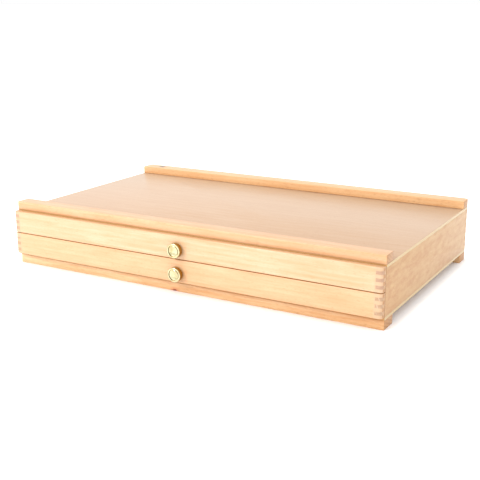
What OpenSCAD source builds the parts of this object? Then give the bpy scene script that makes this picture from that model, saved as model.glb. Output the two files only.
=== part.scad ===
// Low two-drawer wooden box for an artist's table.
// The top panel carries a board or a sheet between its front and rear ledges.
// X runs along the width, the drawers open towards -Y, and the feet stand on Z = 0.
// The origin is under the middle of the whole box, knobs included.

/* [Case] */
// Width of the box over its sides
case_w = 400; // [380:1:420]
// Depth of the box, without the drawer fronts
case_d = 236; // [215:1:260]
// Height of the side boards
side_h = 43; // [42:0.5:56]
// Thickness of the side boards and the back board
board_t = 6.5; // [6:0.1:8]
// Thickness of the top and bottom plywood
ply_t = 2.5; // [2:0.1:4]
// Radius of the upright corners
corner_r = 3.5; // [1:0.5:5]
// Fingers and sockets down each rear corner of the case
case_fingers = 12; // [8:2:16]

/* [Ledges and feet] */
// Height of the ledges above the top panel
ledge_h = 8.2; // [6:0.1:12]
// Depth of the front ledge
front_ledge_d = 15.4; // [12:0.1:20]
// Depth of the rear ledge
rear_ledge_d = 17; // [12:0.1:20]
// Height of the foot rails
foot_h = 8.8; // [7.5:0.1:14]
// Depth of the foot rails
foot_d = 19.4; // [14:0.1:26]
// Width of the flat on an eased edge
ease = 0.6; // [0.3:0.1:1.2]
// How far the top panel's front edge lies behind the case's front
deck_setback = 0.4; // [0:0.1:3]

/* [Drawers] */
// How far the drawer fronts stand out from the case
front_proud = 6.5; // [5:0.1:8]
// Gap between the two drawer fronts
front_gap = 0.7; // [0.4:0.1:1.5]
// Gap between the upper drawer front and the level of the front ledge's underside
ledge_gap = 0.8; // [0.3:0.1:2]
// Clearance between a drawer front and the case
fit_gap = 0.4; // [0.3:0.05:0.6]
// Fingers and sockets down each end of a drawer front
front_fingers = 7; // [5:2:9]
// Height of a drawer's sides
tray_h = 18.3; // [17.5:0.1:18.6]
// Depth of a drawer behind its front
tray_d = 222; // [190:1:222]
// Thickness of a drawer's side boards and back board
tray_t = 7; // [6.5:0.1:9]
// Thickness of a drawer's plywood bottom
tray_ply_t = 2.5; // [2:0.1:3]
// Thickness of a divider
divider_t = 3; // [2:0.1:4]
// Height of a divider above the drawer's bottom
divider_h = 12.6; // [8:0.1:13]
// Dividers across the upper drawer
upper_dividers = 2; // [1:1:3]
// Dividers from front to back in the lower drawer
lower_dividers = 4; // [2:2:6]

/* [Knobs] */
// Diameter of a knob
knob_dia = 14; // [10:0.5:18]
// How far a knob stands out from its drawer front
knob_proud = 6; // [5:0.1:12]
// How far the upper knob sits under the middle of its drawer front
upper_knob_drop = 2; // [0:0.1:2.4]
// How far the lower knob sits under the middle of its drawer front
lower_knob_drop = 2.4; // [0:0.1:2.4]

/* [Hidden] */
case_nodes = [
    "top_panel", "bottom_panel", "left_side", "right_side", "back_board",
    "front_ledge", "rear_ledge", "front_foot", "rear_foot",
    "upper_left_runner", "upper_right_runner", "lower_left_runner", "lower_right_runner",
    "ledge_screws", "foot_screws", "runner_brads", "bottom_panel_brads"
];
drawer_parts = [
    "front", "corner_keys", "left_side", "right_side", "back", "bottom",
    "bottom_brads", "knob", "knob_screw"
];

beech = "#f3cf9f";
pale_beech = "#fbe6bf";
orange_beech = "#f2bf86";
end_grain = "#e9c3a4";
plywood = "#ecc9ab";
brass_colour = "#d9c27a";
steel_colour = "#b9bcc0";

round_fn = 64; // segments of a round hole, screw or corner
knob_fn = 96; // segments of a knob
slack = 1; // how far a cutter runs past the face that it opens
touch = 0.02; // clearance between a fastener and its hole

// Heights of the case
bottom_z = foot_h;
side_z = bottom_z + ply_t;
top_z = side_z + side_h;
deck_z = top_z + ply_t;
total_h = deck_z + ledge_h;

// The case's front plane, with the whole box centred on Y = 0
total_d = case_d + front_proud + knob_proud;
case_y = front_proud + knob_proud - total_d / 2;

// Drawer fronts, from the case's front plane: the upper one also covers the top panel's front edge
front_h = (deck_z - ledge_gap - side_z - fit_gap - front_gap) / 2;
front_t = front_proud - fit_gap;
front_z = [side_z + fit_gap, side_z + fit_gap + front_h + front_gap];
key_w = board_t; // width of the end grain at the ends of a drawer front
lower = 0;
upper = 1;
knob_drop = [lower_knob_drop, upper_knob_drop];
knob_z = [for (drawer = [lower, upper]) front_z[drawer] + front_h / 2 - knob_drop[drawer]];

// Drawer trays, hung on runners in grooves
side_play = 0.75; // between a tray and a case side
tray_w = case_w - 2 * board_t - 2 * side_play;
tray_inner_w = tray_w - 2 * tray_t;
tray_lift = 0.6; // a tray's lower edge, above its front's lower edge
tray_z = [front_z[lower] + tray_lift, front_z[upper] + tray_lift];
housing = 2; // depth of the housings that join a tray
floor_lift = 2; // the bottom's underside, above the tray's lower edge
floor_top = floor_lift + tray_ply_t;
floor_slack = 0.1; // between the plywood bottom and the ends of its grooves
back_y = tray_d - tray_t;
slot_deep = 1.5; // depth of the slots that hold a divider
slot_slack = 0.15; // clearance round a divider in its slot

// Runners and their grooves
runner_h = 4.6;
runner_w = 3.6;
runner_front = 6; // a runner's front end, from the case's front plane
runner_l = 205;
groove_gap = 0.3; // above and below a runner
groove_deep = 3.2;
groove_lift = 9.4; // a groove's middle, above the tray's lower edge

// Fasteners
screw_r = 1.45;
screw_head_r = 2.7;
screw_head_h = 1.5;
screw_l = 9;
screw_inset = 30; // the outer screws, from the ends of a ledge or foot
screw_cross = [0.7, 3, 0.9]; // width, length and depth of a screw's cross
brad_r = 0.6;
brad_head_r = 1.1;
brad_head_h = 0.5;
panel_brad_l = 14;
runner_brad_l = 8;
tray_brad_l = 10;
knob_screw_r = 1.95;
knob_screw_head_r = 3.2;
knob_screw_head_h = 2;
knob_screw_grip = 4; // how far the screw reaches into the knob

// A plan outline with square front corners and rounded rear corners
module rounded_rear(w, d) {
    translate([-w / 2, 0]) square([w, d - corner_r]);
    translate([-w / 2 + corner_r, 0]) square([w - 2 * corner_r, d]);
    for (side = [-1, 1])
        translate([side * (w / 2 - corner_r), d - corner_r]) circle(corner_r, $fn = round_fn);
}

// Everything inside the case's plan, from z up by h
module case_plan(z, h) {
    translate([0, 0, z]) linear_extrude(h) rounded_rear(case_w, case_d);
}

// A bar along X whose section has eased edges: flats under it and flats on top
module eased_bar(w, d, h, under, over) {
    translate([-w / 2, 0, 0])
        rotate([90, 0, 90])
            linear_extrude(w)
                polygon([
                    [under, 0], [d - under, 0], [d, under], [d, h - over],
                    [d - over, h], [over, h], [0, h - over], [0, under]
                ]);
}

// One countersunk screw with its head at Z = 0 and its point up
module screw(clearance = 0) {
    cylinder(h = screw_head_h, r1 = screw_head_r + clearance, r2 = screw_r + clearance, $fn = round_fn);
    cylinder(h = screw_l + clearance, r = screw_r + clearance, $fn = round_fn);
}

// The cross in a screw's head, which faces -Z
module screw_cross() {
    for (turn = [0, 90])
        rotate([0, 0, turn])
            translate([-screw_cross[0] / 2, -screw_cross[1] / 2, -slack])
                cube([screw_cross[0], screw_cross[1], screw_cross[2] + slack]);
}

// One brad with its head at Z = 0 and its point up
module brad(length, clearance = 0) {
    cylinder(h = brad_head_h, r = brad_head_r + clearance, $fn = round_fn);
    cylinder(h = length + clearance, r = brad_r + clearance, $fn = round_fn);
}

// Where the screws go along a ledge or a foot whose middle is at y
module along_rail(y) {
    step = (case_w - 2 * screw_inset) / 3;
    for (i = [0:3]) translate([-case_w / 2 + screw_inset + i * step, y, 0]) children();
}

module ledge_screw_places() {
    for (y = [front_ledge_d / 2, case_d - rear_ledge_d / 2])
        along_rail(y) translate([0, 0, top_z]) children();
}

module foot_screw_places() {
    for (y = [foot_d / 2, case_d - foot_d / 2])
        along_rail(y) translate([0, 0, side_z]) mirror([0, 0, 1]) children();
}

module panel_brad_places() {
    side_step = (case_d - 60) / 3;
    back_step = (case_w - 120) / 4;
    for (side = [-1, 1], i = [0:3])
        translate([side * (case_w - board_t) / 2, 30 + i * side_step, bottom_z]) children();
    for (i = [0:4])
        translate([-case_w / 2 + 60 + i * back_step, case_d - board_t / 2, bottom_z]) children();
}

// Three brads in each runner of one side (-1 left, 1 right), driven outwards
module runner_brad_places(side, drawers = [lower, upper]) {
    for (drawer = drawers, i = [0:2])
        translate([
            side * (case_w / 2 - board_t - runner_w),
            runner_front + 20 + i * (runner_l - 40) / 2,
            tray_z[drawer] + groove_lift
        ])
            rotate([0, side * 90, 0]) children();
}

// Fingers down a corner: every second step of height h from z, starting at first
module finger_steps(z, h, count, first) {
    for (i = [first:2:count - 1]) translate([0, 0, z + i * h / count]) children();
}

module top_panel() {
    color(plywood) difference() {
        case_plan(top_z, ply_t);
        translate([-case_w / 2 - slack, -slack, top_z - slack])
            cube([case_w + 2 * slack, deck_setback + slack, ply_t + 2 * slack]);
        ledge_screw_places() {
            translate([0, 0, -slack]) cylinder(h = slack, r = screw_head_r + touch, $fn = round_fn);
            screw(touch);
        }
    }
}

module bottom_panel() {
    color(plywood) difference() {
        case_plan(bottom_z, ply_t);
        foot_screw_places() {
            translate([0, 0, -slack]) cylinder(h = slack, r = screw_head_r + touch, $fn = round_fn);
            screw(touch);
        }
        panel_brad_places() {
            translate([0, 0, -slack]) cylinder(h = slack, r = brad_head_r + touch, $fn = round_fn);
            brad(panel_brad_l, touch);
        }
    }
}

// One side board of the case (-1 left, 1 right), with sockets at the rear for the back board's fingers
module case_side(side) {
    step = side_h / case_fingers;
    color(beech) difference() {
        intersection() {
            case_plan(side_z, side_h);
            translate([side * (case_w - board_t) / 2 - board_t / 2, 0, side_z])
                cube([board_t, case_d, side_h]);
        }
        finger_steps(side_z, side_h, case_fingers, 1)
            translate([side * (case_w - board_t) / 2 - board_t / 2 - slack, case_d - board_t, 0])
                cube([board_t + 2 * slack, board_t + slack, step]);
        panel_brad_places() brad(panel_brad_l, touch);
        runner_brad_places(side) brad(runner_brad_l, touch);
    }
}

module back_board() {
    step = side_h / case_fingers;
    color(beech) difference() {
        intersection() {
            case_plan(side_z, side_h);
            translate([-case_w / 2, case_d - board_t, side_z]) cube([case_w, board_t, side_h]);
        }
        for (side = [-1, 1])
            finger_steps(side_z, side_h, case_fingers, 0)
                translate([side * (case_w - board_t + slack) / 2 - (board_t + slack) / 2,
                           case_d - board_t - slack, 0])
                    cube([board_t + slack, board_t + 2 * slack, step]);
        panel_brad_places() brad(panel_brad_l, touch);
    }
}

module front_ledge() {
    color(orange_beech) difference() {
        translate([0, 0, deck_z]) eased_bar(case_w, front_ledge_d, ledge_h, 0, ease);
        ledge_screw_places() screw(touch);
    }
}

module rear_ledge() {
    color(orange_beech) difference() {
        intersection() {
            translate([0, case_d - rear_ledge_d, deck_z]) eased_bar(case_w, rear_ledge_d, ledge_h, 0, ease);
            case_plan(deck_z, ledge_h);
        }
        ledge_screw_places() screw(touch);
    }
}

module front_foot() {
    color(orange_beech) difference() {
        eased_bar(case_w, foot_d, foot_h, ease, 0);
        foot_screw_places() screw(touch);
    }
}

module rear_foot() {
    color(orange_beech) difference() {
        intersection() {
            translate([0, case_d - foot_d, 0]) eased_bar(case_w, foot_d, foot_h, ease, 0);
            case_plan(0, foot_h);
        }
        foot_screw_places() screw(touch);
    }
}

// The strip that a drawer slides on, on one side of the case
module runner(side, drawer) {
    color(beech) difference() {
        translate([
            side * (case_w / 2 - board_t - runner_w / 2) - runner_w / 2,
            runner_front,
            tray_z[drawer] + groove_lift - runner_h / 2
        ])
            cube([runner_w, runner_l, runner_h]);
        runner_brad_places(side, [drawer]) brad(runner_brad_l, touch);
    }
}

module ledge_screws() {
    color(steel_colour) ledge_screw_places() difference() {
        screw();
        screw_cross();
    }
}

module foot_screws() {
    color(steel_colour) foot_screw_places() difference() {
        screw();
        screw_cross();
    }
}

module runner_brads() {
    color(steel_colour) for (side = [-1, 1]) runner_brad_places(side) brad(runner_brad_l);
}

module bottom_panel_brads() {
    color(steel_colour) panel_brad_places() brad(panel_brad_l);
}

// A drawer front's outline in plan, rounded at its two outer corners
module front_plan(drawer) {
    translate([0, -fit_gap, front_z[drawer]])
        linear_extrude(front_h)
            mirror([0, 1]) intersection() {
                rounded_rear(case_w, front_t);
                translate([-case_w / 2, 0]) square([case_w, front_t]);
            }
}

// A drawer front's outline from the side: its two long outer edges are eased
module front_section(drawer) {
    translate([-case_w / 2, -front_proud, front_z[drawer]])
        rotate([90, 0, 90])
            linear_extrude(case_w)
                polygon([
                    [ease, 0], [front_t, 0], [front_t, front_h],
                    [ease, front_h], [0, front_h - ease], [0, ease]
                ]);
}

// The block at one end of a drawer front that its fingers are cut from
module front_end(side, drawer, first) {
    step = front_h / front_fingers;
    finger_steps(front_z[drawer], front_h, front_fingers, first)
        translate([side * (case_w - key_w) / 2 - key_w / 2, -front_proud - slack, 0])
            cube([key_w, front_proud + 2 * slack, step]);
}

module knob_hole(drawer, r) {
    translate([0, slack, knob_z[drawer]])
        rotate([90, 0, 0]) cylinder(h = front_proud + 2 * slack, r = r, $fn = round_fn);
}

module drawer_front(drawer) {
    color(pale_beech) difference() {
        intersection() {
            front_plan(drawer);
            front_section(drawer);
        }
        for (side = [-1, 1]) {
            front_end(side, drawer, 1);
            translate([
                side * (tray_w - tray_t) / 2 - tray_t / 2, -fit_gap - housing, tray_z[drawer]
            ])
                cube([tray_t, housing + slack, tray_h]);
        }
        translate([-tray_inner_w / 2 - housing, -fit_gap - housing, tray_z[drawer] + floor_lift])
            cube([tray_inner_w + 2 * housing, housing + slack, tray_ply_t]);
        if (drawer == lower) divider_slots(-fit_gap - slot_deep, drawer);
        knob_hole(drawer, knob_screw_r + touch);
    }
}

// End grain fingers glued in the sockets at both ends of a drawer front
module drawer_corner_keys(drawer) {
    color(end_grain) intersection() {
        for (side = [-1, 1]) front_end(side, drawer, 1);
        front_plan(drawer);
        front_section(drawer);
    }
}

// Slots for the front-to-back dividers, in the board whose inner face the slots open from y
module divider_slots(y, drawer) {
    for (i = [1:lower_dividers])
        translate([
            divider_x(i) - divider_t / 2 - slot_slack, y, tray_z[drawer] + floor_top
        ])
            cube([divider_t + 2 * slot_slack, slot_deep + slack, tray_h]);
}

function divider_x(i) = -tray_inner_w / 2 + i * tray_inner_w / (lower_dividers + 1);
function divider_y(i) = -fit_gap + i * (back_y + fit_gap) / (upper_dividers + 1);

module drawer_side(side, drawer) {
    z = tray_z[drawer];
    inner = side * tray_inner_w / 2;
    color(beech) difference() {
        translate([side * (tray_w - tray_t) / 2 - tray_t / 2, -fit_gap - housing, z])
            cube([tray_t, tray_d + fit_gap + housing, tray_h]);
        // groove for the runner, open at the back
        translate([
            side * (tray_w / 2 - groove_deep / 2 + slack / 2) - (groove_deep + slack) / 2,
            0,
            z + groove_lift - runner_h / 2 - groove_gap
        ])
            cube([groove_deep + slack, tray_d + slack, runner_h + 2 * groove_gap]);
        // groove for the plywood bottom
        translate([
            inner + side * (housing - slack) / 2 - (housing + slack) / 2,
            -fit_gap - housing - slack,
            z + floor_lift
        ])
            cube([housing + slack, tray_d + fit_gap + housing + 2 * slack, tray_ply_t]);
        // housing for the back board
        translate([
            inner + side * (housing - slack) / 2 - (housing + slack) / 2, back_y, z + floor_lift
        ])
            cube([housing + slack, tray_t, tray_h]);
        if (drawer == upper)
            for (i = [1:upper_dividers])
                translate([
                    inner + side * (slot_deep - slack) / 2 - (slot_deep + slack) / 2,
                    divider_y(i) - divider_t / 2 - slot_slack,
                    z + floor_top
                ])
                    cube([slot_deep + slack, divider_t + 2 * slot_slack, tray_h]);
    }
}

module tray_brad_places(drawer) {
    step = tray_inner_w / 4;
    for (i = [-1:1])
        translate([i * step, back_y + tray_t / 2, tray_z[drawer] + floor_lift]) children();
}

module drawer_back(drawer) {
    color(beech) difference() {
        translate([-tray_inner_w / 2 - housing, back_y, tray_z[drawer] + floor_top])
            cube([tray_inner_w + 2 * housing, tray_t, tray_h - floor_top]);
        if (drawer == lower) divider_slots(back_y - slack, drawer);
        tray_brad_places(drawer) brad(tray_brad_l, touch);
    }
}

module drawer_bottom(drawer) {
    reach = housing - floor_slack;
    color(plywood) difference() {
        translate([-tray_inner_w / 2 - reach, -fit_gap - reach, tray_z[drawer] + floor_lift])
            cube([tray_inner_w + 2 * reach, tray_d + fit_gap + reach, tray_ply_t]);
        tray_brad_places(drawer) {
            translate([0, 0, -slack]) cylinder(h = slack, r = brad_head_r + touch, $fn = round_fn);
            brad(tray_brad_l, touch);
        }
    }
}

module drawer_bottom_brads(drawer) {
    color(steel_colour) tray_brad_places(drawer) brad(tray_brad_l);
}

// A thin board across the upper drawer
module upper_divider(i) {
    reach = slot_deep - slot_slack;
    color(plywood)
        translate([
            -tray_inner_w / 2 - reach, divider_y(i) - divider_t / 2, tray_z[upper] + floor_top
        ])
            cube([tray_inner_w + 2 * reach, divider_t, divider_h]);
}

// A thin board from front to back in the lower drawer
module lower_divider(i) {
    reach = slot_deep - slot_slack;
    color(plywood)
        translate([
            divider_x(i) - divider_t / 2, -fit_gap - reach, tray_z[lower] + floor_top
        ])
            cube([divider_t, back_y + fit_gap + 2 * reach, divider_h]);
}

// Half of a knob's section: radius against distance from the drawer front
module knob_section() {
    r = knob_dia / 2;
    neck_r = 0.55 * r;
    neck_h = 0.22 * knob_proud;
    rim = 0.07 * knob_dia;
    rim_w = 0.12 * knob_dia;
    step = 0.06 * knob_proud;
    dish = 0.12 * knob_proud;
    face_r = r - rim - rim_w / 2;
    dish_r = (face_r * face_r + dish * dish) / (2 * dish);
    difference() {
        union() {
            square([neck_r, neck_h + rim]);
            translate([0, neck_h]) square([r, knob_proud - neck_h - rim]);
            square([r - rim, knob_proud]);
            translate([r - rim, knob_proud - rim]) circle(rim, $fn = round_fn);
        }
        // the waist behind the rim
        translate([neck_r, -slack]) square([r, neck_h + slack]);
        // a step round the face, and the hollow inside it
        translate([0, knob_proud - step]) square([face_r, slack]);
        translate([0, knob_proud - step - dish + dish_r]) circle(dish_r, $fn = 4 * knob_fn);
        translate([0, -slack]) square([knob_screw_r + touch, knob_screw_grip + slack]);
    }
}

module drawer_knob(drawer) {
    color(brass_colour)
        translate([0, -front_proud, knob_z[drawer]])
            rotate([90, 0, 0])
                rotate_extrude($fn = knob_fn)
                    intersection() {
                        knob_section();
                        square([knob_dia, knob_proud]);
                    }
}

module drawer_knob_screw(drawer) {
    color(steel_colour) difference() {
        translate([0, 0, knob_z[drawer]])
            rotate([90, 0, 0]) {
                translate([0, 0, fit_gap - knob_screw_head_h])
                    cylinder(h = knob_screw_head_h, r = knob_screw_head_r, $fn = round_fn);
                cylinder(h = front_proud + knob_screw_grip, r = knob_screw_r, $fn = round_fn);
            }
        translate([0, knob_screw_head_h - fit_gap, knob_z[drawer]])
            rotate([90, 0, 0]) screw_cross();
    }
}

// One named part of a drawer
module drawer_part(part, drawer) {
    if (part == "front") drawer_front(drawer);
    if (part == "corner_keys") drawer_corner_keys(drawer);
    if (part == "left_side") drawer_side(-1, drawer);
    if (part == "right_side") drawer_side(1, drawer);
    if (part == "back") drawer_back(drawer);
    if (part == "bottom") drawer_bottom(drawer);
    if (part == "bottom_brads") drawer_bottom_brads(drawer);
    if (part == "knob") drawer_knob(drawer);
    if (part == "knob_screw") drawer_knob_screw(drawer);
}

// Moves a part from the case's own frame, with Y = 0 at its front plane, to the whole box's frame
module placed() {
    translate([0, case_y, 0]) children();
}

placed() top_panel();
placed() bottom_panel();
placed() case_side(-1);  // left_side
placed() case_side(1);  // right_side
placed() back_board();
placed() front_ledge();
placed() rear_ledge();
placed() front_foot();
placed() rear_foot();
placed() runner(-1, upper);  // upper_left_runner
placed() runner(1, upper);  // upper_right_runner
placed() runner(-1, lower);  // lower_left_runner
placed() runner(1, lower);  // lower_right_runner
placed() ledge_screws();
placed() foot_screws();
placed() runner_brads();
placed() bottom_panel_brads();
for (part = drawer_parts) {
    placed() drawer_part(part, upper);
    placed() drawer_part(part, lower);
}
for (i = [1:upper_dividers])
    placed() upper_divider(i);
for (i = [1:lower_dividers])
    placed() lower_divider(i);
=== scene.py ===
import math
import bpy
from mathutils import Matrix, Vector


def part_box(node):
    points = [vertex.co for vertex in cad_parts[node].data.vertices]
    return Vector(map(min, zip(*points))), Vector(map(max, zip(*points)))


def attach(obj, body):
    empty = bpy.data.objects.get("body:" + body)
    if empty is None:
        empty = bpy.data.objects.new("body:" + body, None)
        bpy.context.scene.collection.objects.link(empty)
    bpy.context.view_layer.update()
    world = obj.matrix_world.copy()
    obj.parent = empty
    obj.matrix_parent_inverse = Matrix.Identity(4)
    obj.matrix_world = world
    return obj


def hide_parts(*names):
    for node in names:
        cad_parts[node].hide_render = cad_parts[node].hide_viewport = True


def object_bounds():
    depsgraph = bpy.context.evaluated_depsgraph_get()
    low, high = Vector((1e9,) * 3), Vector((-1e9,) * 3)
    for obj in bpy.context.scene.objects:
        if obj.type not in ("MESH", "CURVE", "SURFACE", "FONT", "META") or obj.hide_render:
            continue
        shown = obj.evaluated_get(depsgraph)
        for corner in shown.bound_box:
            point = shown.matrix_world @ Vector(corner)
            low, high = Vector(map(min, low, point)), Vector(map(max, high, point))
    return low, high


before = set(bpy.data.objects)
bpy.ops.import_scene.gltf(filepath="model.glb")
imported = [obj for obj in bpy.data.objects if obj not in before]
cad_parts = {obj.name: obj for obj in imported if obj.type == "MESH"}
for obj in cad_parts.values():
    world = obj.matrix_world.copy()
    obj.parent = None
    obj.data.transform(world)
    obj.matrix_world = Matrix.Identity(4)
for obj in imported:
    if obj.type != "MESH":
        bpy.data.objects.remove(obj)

print("the packed box is loaded")
cadLow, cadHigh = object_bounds()

mm = 0.001
slack = 1 * mm  # how far a cutter runs past the face that it opens
hair = 1e-6  # two corners closer than this stand at the same place
planeReach = 1e-5  # a corner this near to a plane counts as on it
softAngle = math.radians(32)  # edges flatter than this are shaded smooth


def selectOnly(piece):
    if bpy.context.object and bpy.context.object.mode != "OBJECT":
        bpy.ops.object.mode_set(mode="OBJECT")
    bpy.ops.object.select_all(action="DESELECT")
    piece.select_set(True)
    bpy.context.view_layer.objects.active = piece


def settle(piece):
    # puts the object's place, turn and size into its mesh
    selectOnly(piece)
    bpy.ops.object.transform_apply(location=True, rotation=True, scale=True)


def addBlock(name, low, high):
    bpy.ops.object.select_all(action="DESELECT")
    size = high - low
    bpy.ops.mesh.primitive_cube_add(size=1, location=(low + high) / 2)
    block = bpy.context.object
    block.name = name
    block.data.name = name
    block.scale = size
    settle(block)
    return block


def pickEdges(piece, wanted):
    # leaves edit mode on, with the edges selected whose two ends pass the test
    selectOnly(piece)
    bpy.ops.object.mode_set(mode="EDIT")
    bpy.ops.mesh.select_mode(type="EDGE")
    bpy.ops.mesh.select_all(action="DESELECT")
    bpy.ops.object.mode_set(mode="OBJECT")
    mesh = piece.data
    for edge in mesh.edges:
        a, b = (mesh.vertices[i].co for i in edge.vertices)
        edge.select = wanted(a, b)
    bpy.ops.object.mode_set(mode="EDIT")


def isUpright(a, b):
    return abs(a.x - b.x) < hair and abs(a.y - b.y) < hair and abs(a.z - b.z) > hair


def roundCorners(piece, atY, radius, atX=None, steps=8):
    # rounds the upright edges that stand on the plane y = atY, or the one of them at x = atX
    pickEdges(piece, lambda a, b: isUpright(a, b) and abs(a.y - atY) < planeReach
              and (atX is None or abs(a.x - atX) < planeReach))
    bpy.ops.mesh.bevel(offset=radius, segments=steps, affect="EDGES")
    bpy.ops.object.mode_set(mode="OBJECT")


def cut(piece, cutters, keep="DIFFERENCE"):
    # takes the cutters out of the piece, all at once, or keeps only what lies in them
    selectOnly(cutters[0])
    for cutter in cutters[1:]:
        cutter.select_set(True)
    bpy.ops.object.join()
    tool = bpy.context.object
    selectOnly(piece)
    boolean = piece.modifiers.new("cut", "BOOLEAN")
    boolean.object = tool
    boolean.operation = keep
    boolean.solver = "EXACT"
    bpy.ops.object.modifier_apply(modifier=boolean.name)
    bpy.data.objects.remove(tool)


def copyPiece(piece, name):
    selectOnly(piece)
    bpy.ops.object.duplicate()
    twin = bpy.context.object
    twin.name = name
    twin.data.name = name
    return twin


def ease(piece, width, steps=2, angle=40):
    # takes the sharpness off the edges, as sanding does
    selectOnly(piece)
    bevel = piece.modifiers.new("ease", "BEVEL")
    bevel.width = width
    bevel.segments = steps
    bevel.limit_method = "ANGLE"
    bevel.angle_limit = math.radians(angle)
    bevel.use_clamp_overlap = True
    bpy.ops.object.modifier_apply(modifier=bevel.name)
    bpy.ops.object.shade_smooth_by_angle(angle=softAngle)


def finishPiece(piece, body, nodes):
    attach(piece, body)
    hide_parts(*nodes)


def paintPiece(piece, material):
    piece.data.materials.clear()
    piece.data.materials.append(material)


def paint(code):
    # an sRGB hex colour as the linear colour that a shader wants
    channels = [int(code[i:i + 2], 16) / 255 for i in (1, 3, 5)]
    return tuple(c / 12.92 if c <= 0.04045 else ((c + 0.055) / 1.055) ** 2.4 for c in channels) + (1.0,)


def plug(tree, socket, value):
    if isinstance(value, bpy.types.NodeSocket):
        tree.links.new(value, socket)
    else:
        socket.default_value = value


def calc(tree, operation, a, b=0.0, clamp=False):
    node = tree.nodes.new("ShaderNodeMath")
    node.operation = operation
    node.use_clamp = clamp
    plug(tree, node.inputs[0], a)
    plug(tree, node.inputs[1], b)
    return node.outputs[0]


def blendColour(tree, factor, a, b, kind="MIX"):
    node = tree.nodes.new("ShaderNodeMix")
    node.data_type = "RGBA"
    node.blend_type = kind
    plug(tree, node.inputs[0], factor)
    plug(tree, node.inputs[6], a)
    plug(tree, node.inputs[7], b)
    return node.outputs[2]


def stretch(tree, vector, scale, place=(0, 0, 0), turn=(0, 0, 0)):
    node = tree.nodes.new("ShaderNodeMapping")
    plug(tree, node.inputs["Vector"], vector)
    node.inputs["Location"].default_value = place
    node.inputs["Rotation"].default_value = turn
    node.inputs["Scale"].default_value = scale
    return node.outputs[0]


def noise(tree, vector, detail=2.0, roughness=0.5):
    node = tree.nodes.new("ShaderNodeTexNoise")
    node.inputs["Scale"].default_value = 1.0
    node.inputs["Detail"].default_value = detail
    node.inputs["Roughness"].default_value = roughness
    plug(tree, node.inputs["Vector"], vector)
    return node.outputs[0]


def between(tree, value, low, high):
    node = tree.nodes.new("ShaderNodeMapRange")
    node.interpolation_type = "SMOOTHSTEP"
    plug(tree, node.inputs["Value"], value)
    plug(tree, node.inputs["From Min"], low)
    plug(tree, node.inputs["From Max"], high)
    return node.outputs[0]


def startGroup(name, inputs, outputs):
    group = bpy.data.node_groups.new(name, "ShaderNodeTree")
    for label, kind, value in inputs:
        socket = group.interface.new_socket(label, in_out="INPUT", socket_type=kind)
        if value is not None:
            socket.default_value = value
    for label, kind in outputs:
        group.interface.new_socket(label, in_out="OUTPUT", socket_type=kind)
    into = group.nodes.new("NodeGroupInput")
    out = group.nodes.new("NodeGroupOutput")
    return group, into, out


# in the wood effects X runs along the grain, in metres

def ringBand(tree, vector, ringWidth, wander):
    # growth rings round the pith: pale early wood that darkens slowly and ends in a short late band
    drift = noise(tree, stretch(tree, vector, (3.2, 11, 11)), 2.0)
    drift = calc(tree, "MULTIPLY", calc(tree, "SUBTRACT", drift, 0.5), wander)
    across = tree.nodes.new("ShaderNodeVectorMath")
    across.operation = "MULTIPLY"
    plug(tree, across.inputs[0], vector)
    across.inputs[1].default_value = (0, 1, 1)
    length = tree.nodes.new("ShaderNodeVectorMath")
    length.operation = "LENGTH"
    plug(tree, length.inputs[0], across.outputs[0])
    reach = calc(tree, "ADD", length.outputs["Value"], drift)
    step = calc(tree, "FRACT", calc(tree, "DIVIDE", reach, ringWidth))
    rise = between(tree, step, 0.1, 0.9)
    fall = between(tree, step, 0.9, 1.0)
    return calc(tree, "SUBTRACT", rise, fall, clamp=True)


def makeGrainGroup():
    group, into, out = startGroup(
        "beechGrain",
        [("Vector", "NodeSocketVector", None), ("Ring Width", "NodeSocketFloat", 0.004),
         ("Wander", "NodeSocketFloat", 0.01), ("Rings", "NodeSocketFloat", 0.2),
         ("Streaks", "NodeSocketFloat", 0.4), ("Cloud", "NodeSocketFloat", 0.4),
         ("Mottle", "NodeSocketFloat", 0.2), ("Fibre", "NodeSocketFloat", 0.2)],
        [("Tone", "NodeSocketFloat"), ("Flecks", "NodeSocketFloat"), ("Height", "NodeSocketFloat"),
         ("Fibre", "NodeSocketFloat")])
    vector = into.outputs["Vector"]
    rings = ringBand(group, vector, into.outputs["Ring Width"], into.outputs["Wander"])
    streaks = noise(group, stretch(group, vector, (24, 420, 420), (4.4, 6.1, 2.2)), 3.0, 0.6)
    cloud = noise(group, stretch(group, vector, (15, 70, 70), (3.1, 1.7, 0.4)), 3.0)
    mottle = noise(group, stretch(group, vector, (75, 190, 190), (5.7, 3.3, 7.1)), 4.0, 0.65)
    fibre = noise(group, stretch(group, vector, (90, 2400, 2400), (9.2, 5.5, 2.3)), 3.0, 0.6)
    tone = 0.5
    for value, amount in ((rings, "Rings"), (streaks, "Streaks"), (cloud, "Cloud"), (mottle, "Mottle"),
                          (fibre, "Fibre")):
        share = calc(group, "SUBTRACT", value, 0.5)
        tone = calc(group, "ADD", tone, calc(group, "MULTIPLY", share, into.outputs[amount]))
    # rays cut along their length show as short dashes, thick in some places and few in others
    dashes = noise(group, stretch(group, vector, (260, 1900, 1900), (1.9, 7.7, 4.1)), 1.0)
    patches = noise(group, stretch(group, vector, (25, 130, 130), (6.3, 2.9, 8.8)), 1.0)
    flecks = between(group, calc(group, "ADD", dashes, calc(group, "MULTIPLY", patches, 0.2)), 0.7, 0.8)
    height = calc(group, "SUBTRACT", fibre, calc(group, "MULTIPLY", flecks, 0.6))
    for label, value in (("Tone", tone), ("Flecks", flecks), ("Height", height), ("Fibre", fibre)):
        group.links.new(value, out.inputs[label])
    return group


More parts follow.
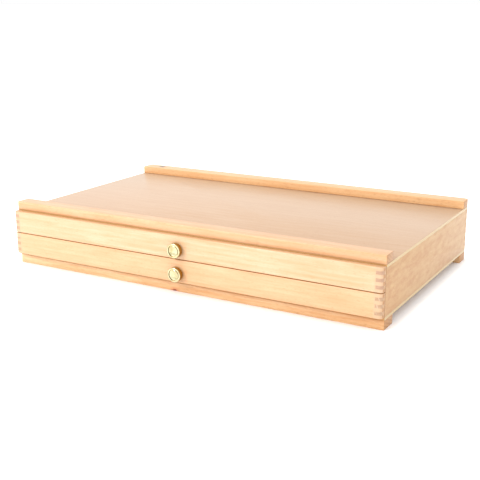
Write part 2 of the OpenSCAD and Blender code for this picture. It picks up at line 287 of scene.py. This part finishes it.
def makeEndGroup():
    group, into, out = startGroup(
        "beechEndGrain",
        [("Vector", "NodeSocketVector", None), ("Ring Width", "NodeSocketFloat", 0.0035)],
        [("Rings", "NodeSocketFloat"), ("Rays", "NodeSocketFloat"), ("Pores", "NodeSocketFloat")])
    vector = into.outputs["Vector"]
    rings = ringBand(group, vector, into.outputs["Ring Width"], 0.004)
    parts = group.nodes.new("ShaderNodeSeparateXYZ")
    group.links.new(vector, parts.inputs[0])
    turn = calc(group, "ARCTAN2", parts.outputs["Y"], parts.outputs["Z"])
    polar = group.nodes.new("ShaderNodeCombineXYZ")
    group.links.new(calc(group, "MULTIPLY", turn, 150), polar.inputs["X"])
    length = group.nodes.new("ShaderNodeVectorMath")
    length.operation = "LENGTH"
    group.links.new(vector, length.inputs[0])
    group.links.new(calc(group, "MULTIPLY", length.outputs["Value"], 160), polar.inputs["Y"])
    rays = between(group, noise(group, polar.outputs[0], 1.0), 0.55, 0.68)
    dots = group.nodes.new("ShaderNodeTexVoronoi")
    dots.inputs["Scale"].default_value = 2600
    group.links.new(vector, dots.inputs["Vector"])
    pores = calc(group, "SUBTRACT", 1.0, between(group, dots.outputs["Distance"], 0.12, 0.3))
    for label, value in (("Rings", rings), ("Rays", rays), ("Pores", pores)):
        group.links.new(value, out.inputs[label])
    return group


def makeKnotGroup():
    group, into, out = startGroup(
        "pinKnot",
        [("Vector", "NodeSocketVector", None), ("Centre", "NodeSocketVector", (0, 0, 0)),
         ("Radius", "NodeSocketFloat", 0.003), ("Stretch", "NodeSocketFloat", 0.6)],
        [("Core", "NodeSocketFloat"), ("Halo", "NodeSocketFloat")])
    away = group.nodes.new("ShaderNodeVectorMath")
    away.operation = "SUBTRACT"
    group.links.new(into.outputs["Vector"], away.inputs[0])
    group.links.new(into.outputs["Centre"], away.inputs[1])
    squash = group.nodes.new("ShaderNodeVectorMath")
    squash.operation = "MULTIPLY"
    group.links.new(away.outputs[0], squash.inputs[0])
    shape = group.nodes.new("ShaderNodeCombineXYZ")
    group.links.new(into.outputs["Stretch"], shape.inputs["X"])
    shape.inputs["Y"].default_value = 1
    shape.inputs["Z"].default_value = 1
    group.links.new(shape.outputs[0], squash.inputs[1])
    length = group.nodes.new("ShaderNodeVectorMath")
    length.operation = "LENGTH"
    group.links.new(squash.outputs[0], length.inputs[0])
    ragged = noise(group, stretch(group, into.outputs["Vector"], (500, 500, 500)), 2.0)
    reach = calc(group, "DIVIDE", length.outputs["Value"], into.outputs["Radius"])
    reach = calc(group, "ADD", reach, calc(group, "MULTIPLY", ragged, 0.5))
    core = calc(group, "SUBTRACT", 1.0, between(group, reach, 0.75, 1.15))
    halo = calc(group, "SUBTRACT", 1.0, between(group, reach, 0.9, 2.4))
    group.links.new(core, out.inputs["Core"])
    group.links.new(halo, out.inputs["Halo"])
    return group


def makePlyGroup():
    group, into, out = startGroup(
        "plyLayers",
        [("Vector", "NodeSocketVector", None), ("Bottom", "NodeSocketFloat", 0.0),
         ("Thickness", "NodeSocketFloat", 0.0025)],
        [("Core", "NodeSocketFloat"), ("Glue", "NodeSocketFloat"), ("Fibre", "NodeSocketFloat")])
    parts = group.nodes.new("ShaderNodeSeparateXYZ")
    group.links.new(into.outputs["Vector"], parts.inputs[0])
    share = calc(group, "DIVIDE", calc(group, "SUBTRACT", parts.outputs["Z"], into.outputs["Bottom"]),
                 into.outputs["Thickness"])
    wave = noise(group, stretch(group, into.outputs["Vector"], (90, 90, 0)), 2.0)
    share = calc(group, "ADD", share, calc(group, "MULTIPLY", calc(group, "SUBTRACT", wave, 0.5), 0.05))
    middle = calc(group, "ABSOLUTE", calc(group, "SUBTRACT", share, 0.5))
    core = calc(group, "SUBTRACT", 1.0, between(group, middle, 0.2, 0.24))
    glueLine = calc(group, "ABSOLUTE", calc(group, "SUBTRACT", middle, 0.22))
    glue = calc(group, "SUBTRACT", 1.0, between(group, glueLine, 0.015, 0.05))
    fibre = noise(group, stretch(group, into.outputs["Vector"], (700, 700, 5000)), 3.0)
    for label, value in (("Core", core), ("Glue", glue), ("Fibre", fibre)):
        group.links.new(value, out.inputs[label])
    return group


grainGroup = makeGrainGroup()
endGroup = makeEndGroup()
knotGroup = makeKnotGroup()
plyGroup = makePlyGroup()
print("wood effects are ready")


def startMaterial(name, roughness, coat=0.0):
    material = bpy.data.materials.new(name)
    material.use_nodes = True
    tree = material.node_tree
    shader = tree.nodes["Principled BSDF"]
    shader.inputs["Roughness"].default_value = roughness
    shader.inputs["Coat Weight"].default_value = coat
    shader.inputs["Coat Roughness"].default_value = 0.3
    place = tree.nodes.new("ShaderNodeTexCoord").outputs["Object"]
    return material, tree, shader, place


def placeGroup(tree, group, **values):
    node = tree.nodes.new("ShaderNodeGroup")
    node.node_tree = group
    for label, value in values.items():
        plug(tree, node.inputs[label], value)
    return node.outputs


def addBump(tree, shader, height, strength, distance):
    bump = tree.nodes.new("ShaderNodeBump")
    bump.inputs["Strength"].default_value = strength
    bump.inputs["Distance"].default_value = distance
    plug(tree, bump.inputs["Height"], height)
    tree.links.new(bump.outputs[0], shader.inputs["Normal"])


def facing(tree, axis, low, high):
    # 1 where the surface looks along the axis, 0 where it looks across it
    normal = tree.nodes.new("ShaderNodeTexCoord").outputs["Normal"]
    parts = tree.nodes.new("ShaderNodeSeparateXYZ")
    tree.links.new(normal, parts.inputs[0])
    return between(tree, calc(tree, "ABSOLUTE", parts.outputs[axis]), low, high)


def grainColour(tree, place, vector, look, along="X"):
    # lean is how much deeper the board gets in a metre along its grain
    grain = placeGroup(tree, grainGroup, **{
        "Vector": vector, "Ring Width": look["ringWidth"], "Wander": look["wander"], "Rings": look["rings"],
        "Streaks": look["streaks"], "Cloud": look["cloud"], "Mottle": look["mottle"], "Fibre": look["fibre"]})
    parts = tree.nodes.new("ShaderNodeSeparateXYZ")
    tree.links.new(place, parts.inputs[0])
    lean = calc(tree, "MULTIPLY", parts.outputs[along], look["lean"])
    tone = calc(tree, "ADD", grain["Tone"], lean, clamp=True)
    colour = blendColour(tree, tone, paint(look["pale"]), paint(look["deep"]))
    flecks = calc(tree, "MULTIPLY", grain["Flecks"], look["flecks"])
    return blendColour(tree, flecks, colour, paint(look["fleck"])), grain


def endColour(tree, vector, look):
    grain = placeGroup(tree, endGroup, **{"Vector": vector, "Ring Width": look["ringWidth"]})
    colour = paint(look["pale"])
    for mark, shade in (("Rings", "deep"), ("Rays", "ray"), ("Pores", "pore")):
        amount = calc(tree, "MULTIPLY", grain[mark], look[mark.lower()])
        colour = blendColour(tree, amount, colour, paint(look[shade]))
    return colour


def makeWood(name, look, ends, along="X", pith=(0, 0.03, 0.09), knot=None, turned=(0.45, 0.9)):
    # planed and lacquered beech; pith is how far off the tree's middle lies, along and across the grain,
    # and turned says from which slope the end grain starts and where it is full
    material, tree, shader, place = startMaterial(name, look["roughness"], look["coat"])
    turn = (0, 0, -math.pi / 2) if along == "Y" else (0, 0, 0)
    vector = stretch(tree, place, (1, 1, 1), pith, turn)
    colour, grain = grainColour(tree, place, vector, look, along)
    if knot:
        mark = placeGroup(tree, knotGroup, **{
            "Vector": place, "Centre": knot["centre"], "Radius": knot["radius"], "Stretch": knot["stretch"]})
        halo = calc(tree, "MULTIPLY", mark["Halo"], knot["haloAmount"])
        colour = blendColour(tree, halo, colour, paint(knot["halo"]))
        colour = blendColour(tree, mark["Core"], colour, paint(knot["core"]))
    if "tip" in look:
        # paler sapwood at both ends of the board
        parts = tree.nodes.new("ShaderNodeSeparateXYZ")
        tree.links.new(place, parts.inputs[0])
        fromMiddle = calc(tree, "ABSOLUTE", parts.outputs["X"])
        tip = between(tree, fromMiddle, cadHigh.x - look["tipStart"], cadHigh.x - look["tipFull"])
        colour = blendColour(tree, calc(tree, "MULTIPLY", tip, look["tipAmount"]), colour, paint(look["tip"]))
    # painted shade: the faces that look up or down are darkened for the shade in the gaps round the fronts
    if "sawn" in look:
        colour = blendColour(tree, facing(tree, "Z", 0.7, 0.95), colour, paint(look["sawn"]), "MULTIPLY")
    colour = blendColour(tree, facing(tree, along, *turned), colour, endColour(tree, vector, ends))
    tree.links.new(colour, shader.inputs["Base Color"])
    sheen = calc(tree, "ADD", calc(tree, "MULTIPLY", grain["Fibre"], 0.12), look["roughness"] - 0.06)
    tree.links.new(sheen, shader.inputs["Roughness"])
    addBump(tree, shader, grain["Height"], look["bump"], 0.00004)
    return material


def makePly(name, look, edge, bottom, thickness, pith):
    # a face veneer along X and the edges of the layers on the sides
    material, tree, shader, place = startMaterial(name, look["roughness"], look["coat"])
    vector = stretch(tree, place, (1, 1, 1), pith)
    colour, grain = grainColour(tree, place, vector, look, "Y")
    layers = placeGroup(tree, plyGroup, **{"Vector": place, "Bottom": bottom, "Thickness": thickness})
    side = blendColour(tree, layers["Core"], paint(edge["face"]), paint(edge["core"]))
    for mark, shade in (("Glue", "glue"), ("Fibre", "fibre")):
        amount = edge[shade + "Amount"]
        side = blendColour(tree, calc(tree, "MULTIPLY", layers[mark], amount), side, paint(edge[shade]))
    # painted shade: the edges that look forward or back are darkened for the shade in the gap under the front
    # ledge
    side = blendColour(tree, facing(tree, "Y", 0.8, 0.95), side, paint(edge["front"]), "MULTIPLY")
    colour = blendColour(tree, facing(tree, "Z", 0.5, 0.8), side, colour)
    tree.links.new(colour, shader.inputs["Base Color"])
    addBump(tree, shader, grain["Height"], look["bump"], 0.00004)
    return material


beechLook = {
    "pale": "#d6b68d", "deep": "#c49668", "fleck": "#a7774e",
    "ringWidth": 0.0042, "wander": 0.006, "rings": 0.14, "streaks": 0.9, "cloud": 0.9, "mottle": 0.3,
    "fibre": 0.35, "lean": 0.0, "flecks": 0.35, "roughness": 0.42, "coat": 0.12, "bump": 0.18,
}
# sawn is painted shade: it darkens the faces that look up or down, in the gaps round the fronts; the tip is
# paler, from tipStart in from each end
frontLook = dict(beechLook, tipStart=8.5 * mm, tipFull=6.5 * mm)
upperFrontLook = dict(frontLook, pale="#d1b392", deep="#c4986d", fleck="#ae7c54", streaks=1.4, fibre=0.5,
                      sawn="#fdf6ec", tip="#ba9a7c", tipAmount=0.5)
lowerFrontLook = dict(frontLook, pale="#d2ae87", deep="#c59367", fleck="#af794c", streaks=1.2, fibre=0.45,
                      sawn="#fae2c6", tip="#c2a180", tipAmount=0.8)
sideLook = dict(beechLook, lean=-1.2, pale="#bc986a", deep="#af8154", fleck="#c0a278", cloud=1.3, mottle=3.0)
ledgeLook = dict(beechLook, pale="#d6ad87", deep="#c69363", streaks=1.15, rings=0.2, fleck="#ad764d")
rearLedgeLook = dict(ledgeLook, pale="#dcb485", deep="#cd9661")
footLook = dict(beechLook, lean=1.2, pale="#dab68a", deep="#c38f5c", fleck="#aa7041", cloud=1.3, streaks=1.9)
trayLook = dict(beechLook, pale="#d3ba94", deep="#c29b70", fleck="#a77d53")
# veneerLook's lean makes the ply paler towards the back, painted light against the shade by the rear ledge
veneerLook = dict(beechLook, pale="#c1a589", deep="#b28c69", fleck="#9f7756", lean=-2.5, ringWidth=0.0055,
                  wander=0.04, rings=0.12, streaks=0.7, cloud=0.5, fibre=0.35, flecks=0.4, roughness=0.38)
endLook = {
    "pale": "#af7f4e", "deep": "#956030", "ray": "#b88e5b", "pore": "#794920",
    "ringWidth": 0.003, "rings": 0.6, "rays": 0.35, "pores": 0.35,
}
keyEnds = dict(endLook, rings=0.35, pale="#ae8a70", deep="#9e7457", ray="#b2967d", pore="#8e6448")
lowKeyEnds = dict(endLook, rays=0.8, pale="#af8e6f", deep="#a37c5d", ray="#bfa58b", pore="#956b4c")
# front is painted shade, for the ply edges that look forward or back
plyLook = {
    "face": "#c7b48b", "core": "#c2aa7e", "glue": "#9f784e", "fibre": "#ae8859",
    "front": "#f6d0a6", "glueAmount": 0.4, "fibreAmount": 0.25,
}

rearLow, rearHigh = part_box("rear_ledge")
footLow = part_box("front_foot")[0]
ledgeKnot = {
    "centre": (rearLow.x + 0.022, rearHigh.y - 0.0085, rearHigh.z), "radius": 0.0042, "stretch": 0.8,
    "halo": "#b48a5c", "haloAmount": 0.45, "core": "#5d4a38",
}
footKnot = {
    "centre": (-0.0075, footLow.y, footLow.z + 0.0006), "radius": 0.0019, "stretch": 0.6,
    "halo": "#c0603c", "haloAmount": 0.45, "core": "#86422f",
}


def plyOf(name, node, pith):
    low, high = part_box(node)
    return makePly(name, veneerLook, plyLook, low.z, high.z - low.z, pith)


woods = {
    "upperFront": makeWood("upperFrontBeech", upperFrontLook, endLook, pith=(0.4, 0.05, 0.07),
                           turned=(0.75, 0.98)),
    "lowerFront": makeWood("lowerFrontBeech", lowerFrontLook, endLook, pith=(1.3, 0.04, 0.11),
                           turned=(0.75, 0.98)),
    "upperKeys": makeWood("upperKeyBeech", sideLook, keyEnds, along="Y", pith=(0.3, 0.24, 0.05),
                          turned=(0.1, 0.4)),
    "lowerKeys": makeWood("lowerKeyBeech", sideLook, lowKeyEnds, along="Y", pith=(0.6, 0.3, 0.2),
                          turned=(0.1, 0.4)),
    "sides": makeWood("sideBeech", sideLook, endLook, along="Y", pith=(0.7, 0.02, 0.13)),
    "back": makeWood("backBeech", sideLook, endLook, pith=(2.1, 0.02, 0.1)),
    "frontLedge": makeWood("frontLedgeBeech", ledgeLook, endLook, pith=(0.2, 0.16, 0.03)),
    "rearLedge": makeWood("rearLedgeBeech", rearLedgeLook, endLook, pith=(1.8, 0.02, 0.08), knot=ledgeKnot),
    "frontFoot": makeWood("frontFootBeech", footLook, endLook, pith=(2.6, 0.14, 0.09), knot=footKnot),
    "rearFoot": makeWood("rearFootBeech", footLook, endLook, pith=(3.3, 0.02, 0.06)),
    "tray": makeWood("trayBeech", trayLook, endLook, pith=(4.2, 0.05, 0.12)),
    "traySides": makeWood("traySideBeech", trayLook, endLook, along="Y", pith=(5.1, 0.03, 0.1)),
    "topPly": plyOf("topPly", "top_panel", (0.9, 0.3, 0.2)),
    "basePly": plyOf("basePly", "bottom_panel", (2.9, 0.4, 0.3)),
    "upperTrayPly": plyOf("upperTrayPly", "upper_drawer_bottom", (3.9, 0.5, 0.1)),
    "lowerTrayPly": plyOf("lowerTrayPly", "lower_drawer_bottom", (4.9, 0.2, 0.3)),
}
print("wood finishes are ready")


# wall is a painted reflection of the shaded wood round the knob
brassLook = {
    "bright": "#cdc6a0", "stained": "#b3a577", "wall": "#a5803f", "wallTurn": (0.25, 0.75),
    "polish": 0.1, "rubbing": 0.16,
}
steelLook = {"bright": "#c9ccd0", "dull": "#8f9499", "polish": 0.25, "blotching": 0.25}


def makeBrass():
    # the wall round the knob is painted darker than the faces that look forward, a painted reflection of the
    # shaded wood beside it
    material, tree, shader, place = startMaterial("polishedBrass", 0.16)
    shader.inputs["Metallic"].default_value = 1.0
    rubbed = noise(tree, stretch(tree, place, (900, 120, 900)), 3.0, 0.6)
    stain = noise(tree, stretch(tree, place, (160, 160, 160), (2, 5, 1)), 2.0)
    stained = between(tree, stain, 0.4, 0.75)
    colour = blendColour(tree, stained, paint(brassLook["bright"]), paint(brassLook["stained"]))
    # painted reflection: the sideways-looking wall takes the darker wall colour
    forward = facing(tree, "Y", *brassLook["wallTurn"])
    colour = blendColour(tree, forward, paint(brassLook["wall"]), colour)
    tree.links.new(colour, shader.inputs["Base Color"])
    dull = calc(tree, "ADD", calc(tree, "MULTIPLY", rubbed, brassLook["rubbing"]), brassLook["polish"])
    tree.links.new(dull, shader.inputs["Roughness"])
    addBump(tree, shader, rubbed, 0.1, 0.00003)
    return material


def makeSteel():
    material, tree, shader, place = startMaterial("zincSteel", 0.35)
    shader.inputs["Metallic"].default_value = 1.0
    blotch = noise(tree, stretch(tree, place, (700, 700, 700)), 3.0, 0.6)
    colour = blendColour(tree, blotch, paint(steelLook["bright"]), paint(steelLook["dull"]))
    tree.links.new(colour, shader.inputs["Base Color"])
    dull = calc(tree, "ADD", calc(tree, "MULTIPLY", blotch, steelLook["blotching"]), steelLook["polish"])
    tree.links.new(dull, shader.inputs["Roughness"])
    addBump(tree, shader, blotch, 0.1, 0.00003)
    return material


brass = makeBrass()
steel = makeSteel()

case = {
    "cornerRadius": 3.5 * mm, "boardEase": 0.25 * mm, "plyEase": 0.2 * mm, "railEase": 0.7 * mm,
    "fingers": 12, "glueLine": 0.05 * mm,
}


def makePanel(name, node, material):
    low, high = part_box(node)
    panel = addBlock(name, low, high)
    roundCorners(panel, high.y, case["cornerRadius"])
    ease(panel, case["plyEase"])
    paintPiece(panel, material)
    finishPiece(panel, "case", [node])


def makeRail(name, node, material, rounded):
    low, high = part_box(node)
    rail = addBlock(name, low, high)
    if rounded:
        roundCorners(rail, high.y, case["cornerRadius"])
    ease(rail, case["railEase"], 3)
    paintPiece(rail, material)
    finishPiece(rail, "case", [node])


def fingerBlocks(low, high, count, first, grow=0.0):
    # every second step between low.z and high.z, as blocks that may be a little taller or shorter
    step = (high.z - low.z) / count
    blocks = []
    for i in range(first, count, 2):
        bottom = low.z + i * step - (grow if i > 0 else slack)
        top = low.z + (i + 1) * step + (grow if i < count - 1 else slack)
        blocks.append(addBlock(f"cutter{i}", Vector((low.x, low.y, bottom)), Vector((high.x, high.y, top))))
    return blocks


def makeSide(name, node):
    low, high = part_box(node)
    board = addBlock(name, low, high)
    outer = high.x if high.x > 0 else low.x
    roundCorners(board, high.y, case["cornerRadius"], outer)
    ease(board, case["boardEase"])
    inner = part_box("back_board")[0].y
    blockLow = Vector((low.x - slack, inner, low.z))
    blockHigh = Vector((high.x + slack, high.y + slack, high.z))
    cut(board, fingerBlocks(blockLow, blockHigh, case["fingers"], 1, case["glueLine"]))
    bpy.ops.object.shade_smooth_by_angle(angle=softAngle)
    paintPiece(board, woods["sides"])
    finishPiece(board, "case", [node])


def makeBack():
    low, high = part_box("back_board")
    board = addBlock("backBoard", low, high)
    roundCorners(board, high.y, case["cornerRadius"])
    ease(board, case["boardEase"])
    blocks = []
    for node in ("left_side", "right_side"):
        sideLow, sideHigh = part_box(node)
        left = sideLow.x - (slack if sideLow.x < 0 else 0)
        right = sideHigh.x + (slack if sideHigh.x > 0 else 0)
        blocks += fingerBlocks(Vector((left, low.y - slack, low.z)), Vector((right, high.y + slack, high.z)),
                               case["fingers"], 0)
    cut(board, blocks)
    bpy.ops.object.shade_smooth_by_angle(angle=softAngle)
    paintPiece(board, woods["back"])
    finishPiece(board, "case", ["back_board"])


makePanel("topPanel", "top_panel", woods["topPly"])
makePanel("basePanel", "bottom_panel", woods["basePly"])
makeRail("frontLedge", "front_ledge", woods["frontLedge"], False)
makeRail("rearLedge", "rear_ledge", woods["rearLedge"], True)
makeRail("frontFoot", "front_foot", woods["frontFoot"], False)
makeRail("rearFoot", "rear_foot", woods["rearFoot"], True)
makeSide("leftSide", "left_side")
makeSide("rightSide", "right_side")
makeBack()
print("the case is made")

drawer = {
    "cornerRadius": 3.5 * mm, "ease": 0.6 * mm, "fingers": 7, "keyWidth": 6.5 * mm, "glueLine": 0.05 * mm,
    "slots": {"upper": "pale_beech", "lower": "warm_pale_beech"},
}


def keyBlocks(low, high, grow):
    # the places of the keys at both ends of a drawer front
    blocks = []
    for sign in (-1, 1):
        outer = (high.x if sign > 0 else low.x) + sign * slack
        inner = (high.x if sign > 0 else low.x) - sign * (drawer["keyWidth"] + grow)
        blocks += fingerBlocks(Vector((min(outer, inner), low.y - slack, low.z)),
                               Vector((max(outer, inner), high.y + slack, high.z)),
                               drawer["fingers"], 1, grow)
    return blocks


def makeFront(level):
    # the board's back is left whole, without housings for the tray, since the tray hides it
    body = level + "_drawer"
    low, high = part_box(body + "_front")
    board = addBlock(level + "Front", low, high)
    roundCorners(board, low.y, drawer["cornerRadius"])
    ease(board, drawer["ease"], 3)
    keys = copyPiece(board, level + "Keys")
    cut(board, keyBlocks(low, high, 0))
    cut(keys, keyBlocks(low, high, -drawer["glueLine"]), "INTERSECT")
    for piece, wood, slot, node in ((board, level + "Front", drawer["slots"][level], "_front"),
                                    (keys, level + "Keys", "end_grain", "_corner_keys")):
        selectOnly(piece)
        bpy.ops.object.shade_smooth_by_angle(angle=softAngle)
        paintPiece(piece, woods[wood])
        finishPiece(piece, body, [body + node])


knob = {
    "sides": 64, "neckShare": 0.55, "neckHeight": 1.3 * mm, "rimRound": 0.6 * mm, "rimWidth": 0.9 * mm,
    "groove": 0.8 * mm, "grooveWidth": 0.5 * mm, "dish": 1.0 * mm,
    "underInset": 0.5 * mm, "underBevel": 0.25 * mm, "grooveSlope": 0.1 * mm, "faceRise": 0.8,
    "faceEdge": (0.1 * mm, 0.2 * mm), "rimSteps": 6, "dishSteps": 9, "softAngle": 38,
}


def makeKnob(body):
    low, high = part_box(body + "_knob")
    centre = (low + high) / 2
    radius = (high.x - low.x) / 2
    depth = high.y - low.y
    # a short round bar on the drawer front, its end towards the front
    bpy.ops.object.select_all(action="DESELECT")
    bpy.ops.mesh.primitive_cylinder_add(vertices=knob["sides"], radius=radius * knob["neckShare"],
                                        depth=knob["neckHeight"], end_fill_type="NGON",
                                        location=(centre.x, high.y - knob["neckHeight"] / 2, centre.z),
                                        rotation=(math.pi / 2, 0, 0))
    piece = bpy.context.object
    piece.name = body + "Knob"
    settle(piece)

    def frontFace():
        # the face that looks forward and lies furthest to the front is selected
        bpy.ops.object.mode_set(mode="OBJECT")
        for item in (piece.data.vertices, piece.data.edges, piece.data.polygons):
            for part in item:
                part.select = False
        best = min(piece.data.polygons, key=lambda f: (round(f.center.y, 7), -f.area))
        best.select = True
        bpy.ops.object.mode_set(mode="EDIT")
        bpy.ops.mesh.select_mode(type="FACE")

    def push(forward, newRadius, oldRadius):
        bpy.ops.mesh.extrude_region_move(TRANSFORM_OT_translate={"value": (0, -forward, 0)})
        grow = newRadius / oldRadius
        bpy.ops.transform.resize(value=(grow, 1, grow), center_override=centre)

    neck = radius * knob["neckShare"]
    rim, groove, dish = knob["rimRound"], knob["groove"], knob["dish"]
    frontFace()
    current = radius - knob["underInset"]
    push(0, current, neck)  # the flat under the head
    push(knob["underBevel"], radius, current)
    current = radius
    push(depth - knob["neckHeight"] - rim - knob["underBevel"], radius, current)
    steps = knob["rimSteps"]
    for i in range(1, steps + 1):
        # the rounded rim
        a, b = (i - 1) / steps * math.pi / 2, i / steps * math.pi / 2
        nextRadius = radius - rim * (1 - math.cos(b))
        push(rim * (math.sin(b) - math.sin(a)), nextRadius, current)
        current = nextRadius
    # the flat rim, the groove and the face inside it
    slope = knob["grooveSlope"]
    for forward, inward in ((0, knob["rimWidth"]), (-groove, slope), (0, knob["grooveWidth"]),
                            (groove * knob["faceRise"], slope), knob["faceEdge"]):
        push(forward, current - inward, current)
        current -= inward
    faceRadius = current
    steps = knob["dishSteps"]
    for i in range(1, steps):
        # the dished face
        share = 1 - i / steps
        previous = 1 - (i - 1) / steps
        push(-dish * (previous ** 2 - share ** 2), faceRadius * share, faceRadius * previous)
    bpy.ops.object.mode_set(mode="OBJECT")
    bpy.ops.object.shade_smooth_by_angle(angle=math.radians(knob["softAngle"]))
    piece.data.materials.append(brass)
    finishPiece(piece, body, [body + "_knob"])


tray = {
    "grooveStart": 13 * mm, "ease": 0.4 * mm, "thinEase": 0.2 * mm,
    "closeGap": 0.02 * mm, "slotGap": 0.15 * mm, "runnerGap": 0.3 * mm,
}


def makeBoard(name, node, body, material, mates=(), rounding=None):
    # a plain board with housings for the pieces that sit in it, each given as a node and a gap round it
    low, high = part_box(node)
    board = addBlock(name, low, high)
    ease(board, rounding or tray["ease"])
    cutters = []
    for mate, gap in mates:
        mateLow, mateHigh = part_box(mate)
        spare = Vector((gap, gap, gap))
        cutters.append(addBlock("cutter", mateLow - spare, mateHigh + spare))
    if "_side" in node:
        # the runner's groove, open at the back
        runLow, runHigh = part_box(node.replace("drawer_", "").replace("side", "runner"))
        gap = tray["runnerGap"]
        inner = runLow.x - gap if high.x > 0 else low.x - slack
        outer = high.x + slack if high.x > 0 else runHigh.x + gap
        grooveLow = Vector((inner, cadLow.y + tray["grooveStart"], runLow.z - gap))
        grooveHigh = Vector((outer, high.y + slack, runHigh.z + gap))
        cutters.append(addBlock("cutter", grooveLow, grooveHigh))
    for cutter in cutters:
        # one at a time, since the housings run into each other
        cut(board, [cutter])
    if cutters:
        bpy.ops.object.shade_smooth_by_angle(angle=softAngle)
    paintPiece(board, material)
    finishPiece(board, body, [node])


def makeTray(level):
    prefix = level + "_drawer"
    dividers = sorted(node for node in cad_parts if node.startswith(prefix + "_divider"))
    slots = [(node, tray["slotGap"]) for node in dividers]
    for side in ("left", "right"):
        mates = [(prefix + "_bottom", tray["closeGap"]), (prefix + "_back", tray["closeGap"])]
        if level == "upper":
            mates += slots
        makeBoard(f"{level}Tray{side.title()}Side", f"{prefix}_{side}_side", prefix,
                  woods["traySides"], mates)
    makeBoard(level + "TrayBack", prefix + "_back", prefix, woods["tray"],
              slots if level == "lower" else ())
    makeBoard(level + "TrayBottom", prefix + "_bottom", prefix, woods[level + "TrayPly"],
              rounding=tray["thinEase"])
    for i, node in enumerate(dividers):
        makeBoard(f"{level}Divider{i + 1}", node, prefix,
                  woods["traySides"] if level == "lower" else woods["tray"])


for level in ("upper", "lower"):
    prefix = level + "_drawer"
    makeFront(level)
    makeKnob(prefix)
    makeTray(level)
    for side in ("left", "right"):
        makeBoard(f"{level}{side.title()}Runner", f"{level}_{side}_runner", "case",
                  woods["traySides"])
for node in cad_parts:
    if "screw" in node or "brads" in node:
        paintPiece(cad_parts[node], steel)
print("the drawers are made")

studio = {
    "floor": 60.0, "glow": 0.32, "fade": 0.01,
    "air": 1.0, "bright": 1.45, "dim": 1.25, "from": (-0.5, -0.5, 0.7),
    "key": {"place": (-0.6, -1.2, 0.85), "aim": (0, 0, 0.03), "size": 0.5, "power": 12},
}
view = {"place": (0.43074, -0.74881, 0.26433), "pan": 29.973, "tilt": 15.579, "roll": -0.223, "lens": 64.92}


def makeFloor():
    bpy.ops.object.select_all(action="DESELECT")
    bpy.ops.mesh.primitive_plane_add(size=studio["floor"], location=(0, 0, cadLow.z))
    floor = bpy.context.object
    floor.name = "floor"
    material, tree, shader, place = startMaterial("paperSweep", 0.8)
    mottle = noise(tree, stretch(tree, place, (3, 3, 3)), 2.0)
    tree.links.new(blendColour(tree, mottle, paint("#fcfcfc"), paint("#f8f8f8")), shader.inputs["Base Color"])
    # painted light and shade: the floor glows outside the box, and the glow fades out under it, which paints
    # the shade there
    parts = tree.nodes.new("ShaderNodeSeparateXYZ")
    tree.links.new(place, parts.inputs[0])
    besideX = calc(tree, "SUBTRACT", calc(tree, "ABSOLUTE", parts.outputs["X"]), cadHigh.x)
    besideY = calc(tree, "SUBTRACT", calc(tree, "ABSOLUTE", parts.outputs["Y"]), cadHigh.y)
    lit = between(tree, calc(tree, "MAXIMUM", besideX, besideY), 0.0, studio["fade"])
    tree.links.new(blendColour(tree, lit, (0, 0, 0, 1), (1, 1, 1, 1)), shader.inputs["Emission Color"])
    shader.inputs["Emission Strength"].default_value = studio["glow"]
    floor.data.materials.append(material)


def makeLight(name, look):
    light = bpy.data.lights.new(name, "AREA")
    light.shape = "SQUARE"
    light.size = look["size"]
    light.energy = look["power"]
    lamp = bpy.data.objects.new(name, light)
    bpy.context.scene.collection.objects.link(lamp)
    lamp.location = look["place"]
    aim = Vector(look["aim"]) - lamp.location
    lamp.rotation_euler = aim.to_track_quat("-Z", "Y").to_euler()


def makeWorld():
    # a white tent round the table, brighter towards the front left
    world = bpy.data.worlds.new("studioTent")
    bpy.context.scene.world = world
    world.use_nodes = True
    tree = world.node_tree
    background = tree.nodes["Background"]
    background.inputs["Color"].default_value = (1, 1, 1, 1)
    turn = tree.nodes.new("ShaderNodeVectorMath")
    turn.operation = "DOT_PRODUCT"
    tree.links.new(tree.nodes.new("ShaderNodeTexCoord").outputs["Generated"], turn.inputs[0])
    turn.inputs[1].default_value = Vector(studio["from"]).normalized()
    share = between(tree, turn.outputs["Value"], -1.0, 1.0)
    glow = calc(tree, "ADD", calc(tree, "MULTIPLY", share, studio["bright"] - studio["dim"]), studio["dim"])
    seen = tree.nodes.new("ShaderNodeLightPath").outputs["Is Camera Ray"]
    gap = calc(tree, "SUBTRACT", studio["air"], glow)
    tree.links.new(calc(tree, "ADD", glow, calc(tree, "MULTIPLY", gap, seen)), background.inputs["Strength"])


def makeCamera():
    camera = bpy.data.objects.new("camera", bpy.data.cameras.new("camera"))
    bpy.context.scene.collection.objects.link(camera)
    camera.data.sensor_width = 36
    camera.data.lens = view["lens"]
    turn = Matrix.Rotation(math.radians(view["pan"]), 4, "Z")
    tip = Matrix.Rotation(math.radians(90 - view["tilt"]), 4, "X")
    roll = Matrix.Rotation(math.radians(view["roll"]), 4, "Z")
    camera.matrix_world = Matrix.Translation(view["place"]) @ turn @ tip @ roll
    bpy.context.scene.camera = camera


makeFloor()
makeLight("keyLight", studio["key"])
makeWorld()
makeCamera()
bpy.context.scene.view_settings.view_transform = "Standard"
print("floor, light and camera are set")
